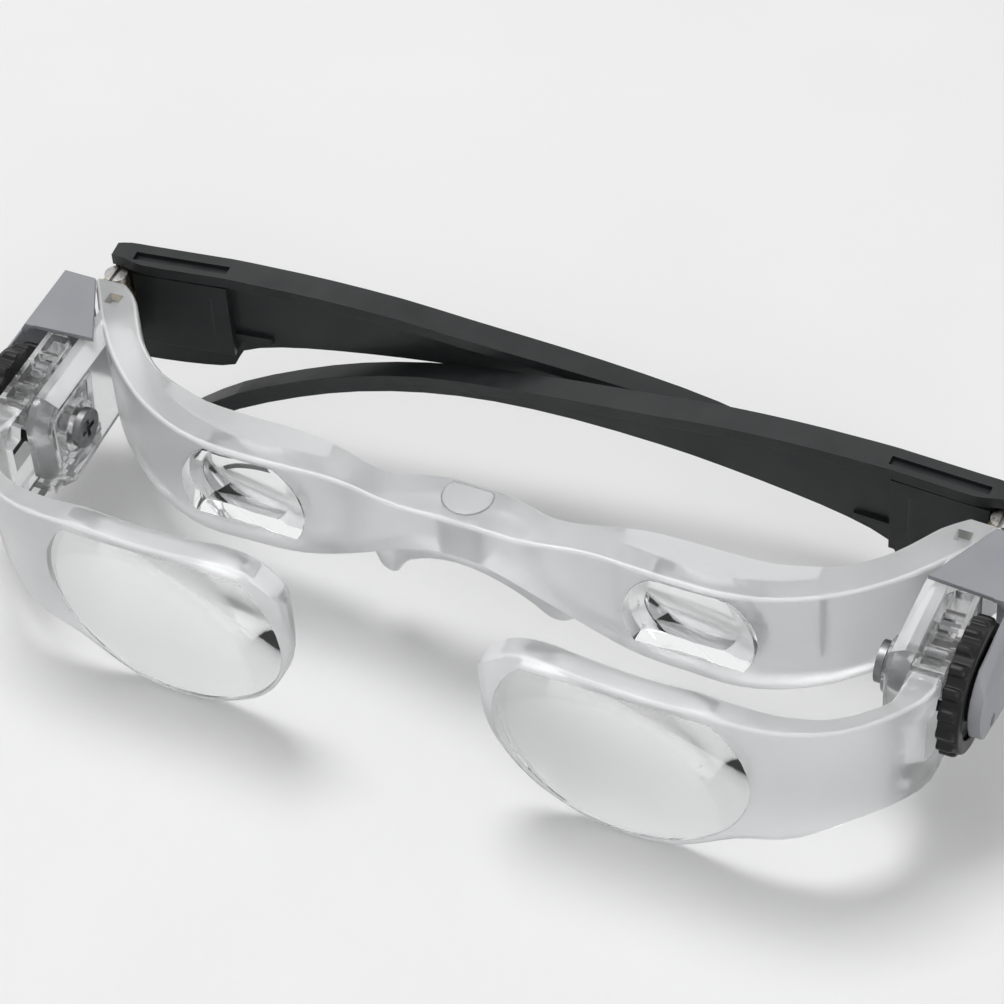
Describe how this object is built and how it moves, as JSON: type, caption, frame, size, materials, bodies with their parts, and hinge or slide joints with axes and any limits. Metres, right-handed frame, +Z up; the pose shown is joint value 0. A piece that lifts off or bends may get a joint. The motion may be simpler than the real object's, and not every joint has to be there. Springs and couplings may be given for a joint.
{
  "type": "binocular glasses",
  "caption": "Head-worn binocular glasses: clear frame with eyepiece lenses, large objective lenses on sliding side arms moved by ribbed focus wheels, and folding temples.",
  "frame": {"origin": "middle of the underside of the nose saddle, where the glasses rest on the nose", "axes": "+X to the wearer's left, +Y back towards the wearer's face, +Z up; the optical axes run along Y"},
  "size_m": [0.142, 0.0653, 0.0371],
  "materials": {
    "frosted_clear": "frosted clear polycarbonate",
    "soft_clear": "soft translucent clear plastic",
    "lens": "clear polished lens",
    "black_grip": "matte black ribbed plastic",
    "grey_cover": "satin light grey plastic",
    "dark_plastic": "satin charcoal plastic",
    "steel": "turned steel",
    "brass": "dull nickel-brass hinge"
  },
  "bodies": {
    "frame": {"rear_frame": "frosted_clear", "nose_saddle": "soft_clear", "eyepiece_lens_left": "lens", "wheel_axle_screw_left": "steel", "side_cover_left": "grey_cover", "frame_hinge_left": "brass", "hinge_screw_left": "steel", "eyepiece_lens_right": "lens", "wheel_axle_screw_right": "steel", "side_cover_right": "grey_cover", "frame_hinge_right": "brass", "hinge_screw_right": "steel"},
    "objective_slide_left": {"objective_arm_left": "frosted_clear", "objective_lens_left": "lens"},
    "wheel_left": {"focus_wheel_left": "black_grip"},
    "temple_arm_left": {"temple_left": "dark_plastic", "temple_hinge_left": "brass"},
    "objective_slide_right": {"objective_arm_right": "frosted_clear", "objective_lens_right": "lens"},
    "wheel_right": {"focus_wheel_right": "black_grip"},
    "temple_arm_right": {"temple_right": "dark_plastic", "temple_hinge_right": "brass"}
  },
  "joints": [
    {"name": "focus_slide_left", "type": "slide", "parent": "frame", "child": "objective_slide_left", "axis": [0, 1, 0], "range_m": [0, 0.005]},
    {"name": "focus_turn_left", "type": "hinge", "parent": "frame", "child": "wheel_left", "pos_m": [0.0676, 0.001, 0.0015], "axis": [-1, 0, 0], "range_deg": [0, 82.5]},
    {"name": "temple_fold_left", "type": "hinge", "parent": "frame", "child": "temple_arm_left", "pos_m": [0.0637, 0.0244, 0], "axis": [0, 0, -1], "range_deg": [0, 90]},
    {"name": "focus_slide_right", "type": "slide", "parent": "frame", "child": "objective_slide_right", "axis": [0, 1, 0], "range_m": [0, 0.005]},
    {"name": "focus_turn_right", "type": "hinge", "parent": "frame", "child": "wheel_right", "pos_m": [-0.0676, 0.001, 0.0015], "axis": [-1, 0, 0], "range_deg": [0, 82.5]},
    {"name": "temple_fold_right", "type": "hinge", "parent": "frame", "child": "temple_arm_right", "pos_m": [-0.0637, 0.0244, 0], "axis": [0, 0, 1], "range_deg": [0, 84]}
  ],
  "couplings": [
    {"joint": "focus_turn_left", "follows": "focus_slide_left", "rad_per_m": 285.71},
    {"joint": "focus_turn_right", "follows": "focus_slide_right", "rad_per_m": 285.71}
  ]
}
